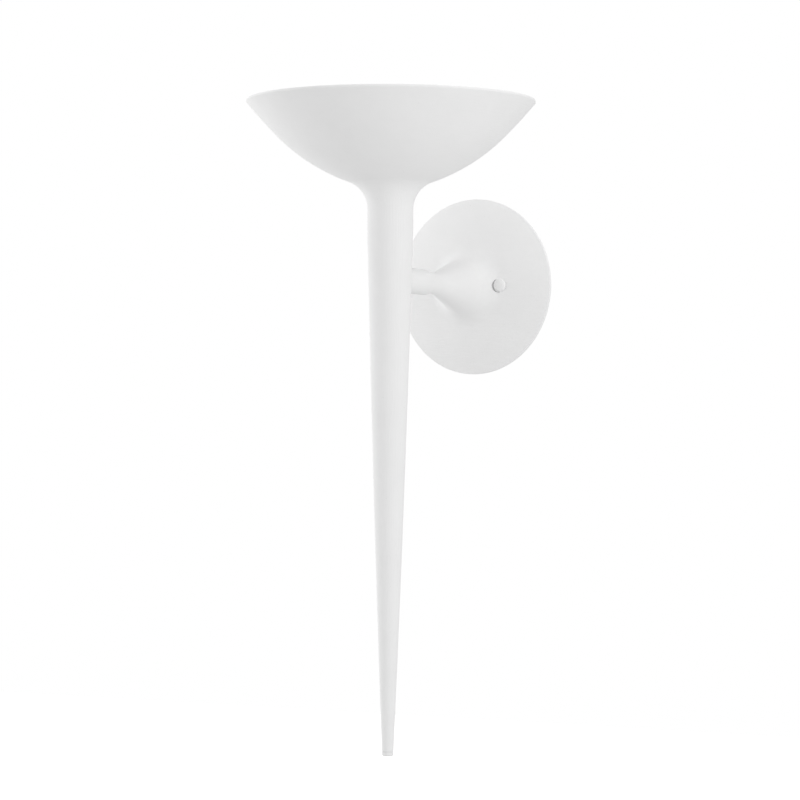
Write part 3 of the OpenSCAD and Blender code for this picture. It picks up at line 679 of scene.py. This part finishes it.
# %% Seats for the cap nuts
STUD_SPACING, STUD_R = 76, 2.1
NUT_R, NUT_H = 6.2, 4.6
SEAT_R, CUTTER_H = NUT_R + 0.75, 12
SEAT_ASIDE, SEAT_DOWN = 0.3, 0.65
STUD_HOLE_R = STUD_R + 0.3
BOSS_R, BOSS_STRETCH = 3.7, 1.9
BOSS_X, BOSS_SINK = 31, 0.5  # its centre: from the plate's middle, and under the seat
seat_h = dome.y + sqrt(DOME_R ** 2 - (STUD_SPACING / 2 - dome.x) ** 2)


def drum(name, x, z, radius, low, high, segments=64):
    """Drum on the plate at x and z, from height low to high above the wall."""
    bm = bmesh.new()
    add_drum(bm, radius, low, high, segments, x, z)
    return make_object(name, bm, OFF_WALL)


def boss(x, z):
    """Stretched ball under the skin of the flare's foot."""
    bm = bmesh.new()
    bmesh.ops.create_uvsphere(bm, u_segments=48, v_segments=24, radius=mm(BOSS_R))
    bmesh.ops.scale(bm, vec=(1, BOSS_STRETCH, 1), verts=bm.verts[:])
    bmesh.ops.translate(bm, vec=(mm(x), mm(z), mm(seat_h - BOSS_SINK)), verts=bm.verts[:])
    return make_object("seat_boss", bm, OFF_WALL)


for side in (-1, 1):
    x = side * STUD_SPACING / 2
    cut(plate, boss(side * BOSS_X, -SEAT_DOWN), "UNION")
    cut(plate, drum("seat_cutter", x - side * SEAT_ASIDE, -SEAT_DOWN, SEAT_R, seat_h, seat_h + CUTTER_H))
    cut(plate, drum("stud_drill", x, 0, STUD_HOLE_R, -1, seat_h + 1, 32))

bm = bmesh.new()
bm.from_mesh(plate.data)
hand_coat(bm)
bm.to_mesh(plate.data)
bm.free()
stand_for(plate, "backplate", gesso_plate)
print("nut seats at", round(seat_h, 2), "mm above the wall")

# %% [markdown]
# ## The cap nuts
# Low domed nuts close the studs from the front. One is turned, and the other is its copy on the far side of
# the plate, so the two stay one piece, as they are one part in the CAD model.

# %% Cap nuts
skirt = NUT_H * 0.45
NUT_BORE_R, BLIND_H = STUD_R + 0.05, 2.9  # the bore ends under the crown
NUT_CHAMFER = 0.4


def pair(bm, height):
    """Moves what was drawn to one stud's place, and copies it to the other's."""
    bmesh.ops.translate(bm, vec=(mm(STUD_SPACING / 2), 0, mm(height)), verts=bm.verts[:])
    twin = bmesh.ops.duplicate(bm, geom=bm.verts[:] + bm.edges[:] + bm.faces[:])["geom"]
    twin_verts = [g for g in twin if isinstance(g, bmesh.types.BMVert)]
    bmesh.ops.translate(bm, vec=(mm(-STUD_SPACING), 0, 0), verts=twin_verts)


bm = bmesh.new()
skirt_top = begin(bm, (NUT_R, skirt))
arc(bm, skirt_top, (0, skirt), 90, 16)
bmesh.ops.scale(  # squeezes the quarter circle to the low crown
    bm, vec=(1, 1, (NUT_H - skirt) / NUT_R), verts=bm.verts[:], space=Matrix.Translation((0, 0, mm(-skirt))),
)
end = line(bm, skirt_top, (NUT_R, NUT_CHAMFER), cuts=2)
end = line(bm, end, (NUT_R - NUT_CHAMFER, 0))
end = line(bm, end, (NUT_BORE_R, 0), cuts=2)
end = line(bm, end, (NUT_BORE_R, BLIND_H), cuts=2)
end = line(bm, end, (0, BLIND_H))
turn(bm, 64)
pair(bm, seat_h)
nuts = make_object("domed_cap_nuts", bm, OFF_WALL)
stand_for(nuts, "cap_nuts", gesso_plate)

# %% [markdown]
# ## The studs
# The CAD studs are plain rods. A real one is rolled with a thread, 0.8 mm from crest to crest. A thread is
# one tooth swept up a helix, and spin does that too, when it is given a step of travel for each step of
# turn. The ends of a helix are ragged, so a plane cuts them square and the cut is filled.

# %% Threaded studs
PITCH, TOOTH_DEPTH = 0.8, 0.45
CREST = 0.16  # width of a tooth's crest, as a part of the pitch
TOOTH_STEPS = 30  # to one turn
BAR_T = 1.6  # level bar that the studs are screwed into
HEAD_R, HEAD_LOW = 3.8, 0.2
stud_low, stud_high = BAR_T - 0.5, seat_h + BLIND_H - 0.2


def add_thread(bm, radius, low, high):
    before = set(bm.verts)
    turns = int((high - low) / PITCH) + 3
    start = low - PITCH
    end = begin(bm, (radius - TOOTH_DEPTH, start))
    end = line(bm, end, (radius, start + PITCH * (1 - CREST) / 2))
    end = line(bm, end, (radius, start + PITCH * (1 + CREST) / 2))
    line(bm, end, (radius - TOOTH_DEPTH, start + PITCH))
    new = [v for v in bm.verts if v not in before]
    edges = list({e for v in new for e in v.link_edges})
    bmesh.ops.spin(
        bm, geom=new + edges, cent=(0, 0, 0), axis=(0, 0, 1), angle=2 * pi * turns,
        steps=TOOTH_STEPS * turns, dvec=(0, 0, mm(PITCH) / TOOTH_STEPS),
    )
    bmesh.ops.remove_doubles(bm, verts=bm.verts[:], dist=mm(MERGE))
    for height, side in ((low, -1), (high, 1)):
        made = bmesh.ops.bisect_plane(
            bm, geom=bm.verts[:] + bm.edges[:] + bm.faces[:], plane_co=(0, 0, mm(height)),
            plane_no=(0, 0, side), clear_outer=True,
        )
        rim = [g for g in made["geom_cut"] if isinstance(g, bmesh.types.BMEdge)]
        bmesh.ops.edgeloop_fill(bm, edges=rim)
    bmesh.ops.recalc_face_normals(bm, faces=bm.faces[:])


bm = bmesh.new()
add_thread(bm, STUD_R, stud_low, stud_high)
print("thread:", len(bm.verts), "vertices, open edges:", sum(e.is_boundary for e in bm.edges))
add_drum(bm, HEAD_R, HEAD_LOW, BAR_T, 48)
pair(bm, 0)
studs = make_object("threaded_studs", bm, OFF_WALL)
stand_for(studs, "mounting_studs", zinc_small)

# %% [markdown]
# ## The bulb
# The bulb is blown in a mould: a globe that runs tangent into a cone and through a small fillet into the
# neck. It is a thin shell, so the outline of its outside is turned first, and then the wall gets its
# thickness.

# %% Bulb
GLOBE_R, NECK_R, GLASS_T = 24, 12.4, 0.8
BULB_FOOT, BULB_H, IN_CAP = 96.5, 64, 6  # the neck goes on down into the cap
SIDE = radians(38)  # how far the cone between globe and neck leans from the axis
BLEND = 14  # fillet from cone to neck
globe_z = BULB_FOOT + BULB_H - GLOBE_R
knee_z = globe_z - GLOBE_R * sin(SIDE) - (GLOBE_R * cos(SIDE) - NECK_R) / tan(SIDE)
blend_z = knee_z - BLEND * tan(SIDE / 2)

bm = bmesh.new()
end = begin(bm, (NECK_R, BULB_FOOT - IN_CAP))
end = line(bm, end, (NECK_R, blend_z), cuts=8)
end = arc(bm, end, (NECK_R + BLEND, blend_z), -degrees(SIDE), 10)
end = line(bm, end, (GLOBE_R * cos(SIDE), globe_z - GLOBE_R * sin(SIDE)), cuts=6)
end = arc(bm, end, (0, globe_z), 90 + degrees(SIDE), 44)
turn(bm, 96)
bmesh.ops.solidify(bm, geom=bm.faces[:], thickness=mm(GLASS_T))
bulb = make_object("frosted_bulb", bm, STEM_AXIS)
stand_for(bulb, "bulb_envelope", frosted)
print("bulb top", round(globe_z + GLOBE_R, 1), "mm, rim", round(rim_z, 1), "mm")

# %% [markdown]
# ## Hardware from the CAD model
# The remaining parts are right as they are, so they only get their finishes. Their meshes stay untouched.

# %% Finishes of the hardware
finishes = {
    zinc_upright: ["box_bar"],
    zinc_level: ["stud_bar"],
    zinc_small: [
        "arm_nipple", "arm_lock_washer", "ground_lug", "bar_eyelet", "stud_nuts",
        "socket_bridge", "socket_nipple", "socket_cap",
    ],
    brass: ["arm_locknut", "socket_locknuts", "screw_shell", "centre_contact", "terminal_screws"],
    porcelain: ["socket_body", "shade_ring"],
    nylon: ["wire_bushing"],
    green_dye: ["ground_screw"],
    nickel: ["bulb_cap", "bulb_contact"],
    black_glass: ["bulb_insulator"],
    black_wire: ["live_lead"],
    white_wire: ["neutral_lead"],
    green_wire: ["ground_lead"],
}
for material, nodes in finishes.items():
    for name in nodes:
        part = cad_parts[name]
        part.data.materials.clear()
        part.data.materials.append(material)
print("finished CAD parts:", sum(len(nodes) for nodes in finishes.values()))

# %% [markdown]
# ## The studio
# A sconce hangs about 1.6 m above the floor, so the floor is far below the picture. Floor and surroundings
# look white to the camera and to reflections, while the light that falls on the object stays plain, so that
# its matt white keeps its shades. The floor still darkens where the object's shadow lies.

# %% Floor and surroundings
FLOOR_Z, FLOOR_HALF = -1.6, 12  # m
FLOOR_GLOW = 0.6  # lifts the floor to white where it is shown
AMBIENT = 0.71  # light of the surroundings on the object


def shown_to(tree):
    """1 for a ray from the camera, a reflection or glass, and 0 for light that falls on the object."""
    path = add(tree, "LightPath")
    ray = path.outputs["Is Camera Ray"]
    for other in ("Is Glossy Ray", "Is Transmission Ray"):
        ray = add(tree, "Math", {"operation": "MAXIMUM"}, _0=ray, _1=path.outputs[other]).outputs[0]
    return ray


surroundings = bpy.data.worlds.new("white_studio")
surroundings.use_nodes = True
tree = surroundings.node_tree
tree.nodes.clear()
lit = add(tree, "Background", Color=(1, 1, 1, 1), Strength=AMBIENT)
shown = add(tree, "Background", Color=(1, 1, 1, 1), Strength=1.0)
mixed = add(tree, "MixShader", Fac=shown_to(tree), _1=lit.outputs[0], _2=shown.outputs[0])
add(tree, "OutputWorld", Surface=mixed.outputs[0])
bpy.context.scene.world = surroundings

bm = bmesh.new()
bmesh.ops.create_grid(bm, x_segments=8, y_segments=8, size=FLOOR_HALF)
floor = make_object("studio_floor", bm, Matrix.Translation((0, 0, FLOOR_Z)))
floor_paint, tree, shader = finish("white_floor_paint", Base_Color=colour("EDEDED"), Roughness=0.7)
lift = add(tree, "Math", {"operation": "MULTIPLY"}, _0=shown_to(tree), _1=FLOOR_GLOW)
glow = add(tree, "Emission", Color=(1, 1, 1, 1), Strength=lift.outputs[0])
lifted = add(tree, "AddShader", _0=shader.outputs[0], _1=glow.outputs[0])
tree.links.new(lifted.outputs[0], find_node(tree, "OUTPUT_MATERIAL").inputs["Surface"])
floor.data.materials.append(floor_paint)
print("floor at", FLOOR_Z, "m")

# %% [markdown]
# Three large soft lamps shape the white on white. The two stronger ones stand at the sides, a little above
# the object's middle, so that the long stem is bright at both edges and calm between them. The third hangs
# overhead and lifts what faces up. They are near, so their light fades down the stem, and large, so every
# shadow has a soft edge.

# %% Lamps
LAMP_DISTANCE, LAMP_SIZE = 1.7, 0.9  # m
AIM_Z = -60  # a little under the arm, near the object's middle


def lamp(name, azimuth, elevation, watts):
    """Square lamp that looks at the middle of the object, placed by its angles from the front."""
    aim = Vector((0, mm(-REACH), mm(AIM_Z)))
    a, e = radians(azimuth), radians(elevation)
    out = Vector((sin(a) * cos(e), -cos(a) * cos(e), sin(e)))
    light = bpy.data.lights.new(name, "AREA")
    light.shape, light.size, light.energy = "SQUARE", LAMP_SIZE, watts
    made = bpy.data.objects.new(name, light)
    made.location = aim + out * LAMP_DISTANCE
    made.rotation_euler = out.to_track_quat("Z", "Y").to_euler()
    bpy.context.scene.collection.objects.link(made)


lamp("right", 72, 10, 7.3)
lamp("left", -80, 10, 10.3)
lamp("top", 0, 88, 6)
bpy.context.scene.view_settings.view_transform = "Standard"
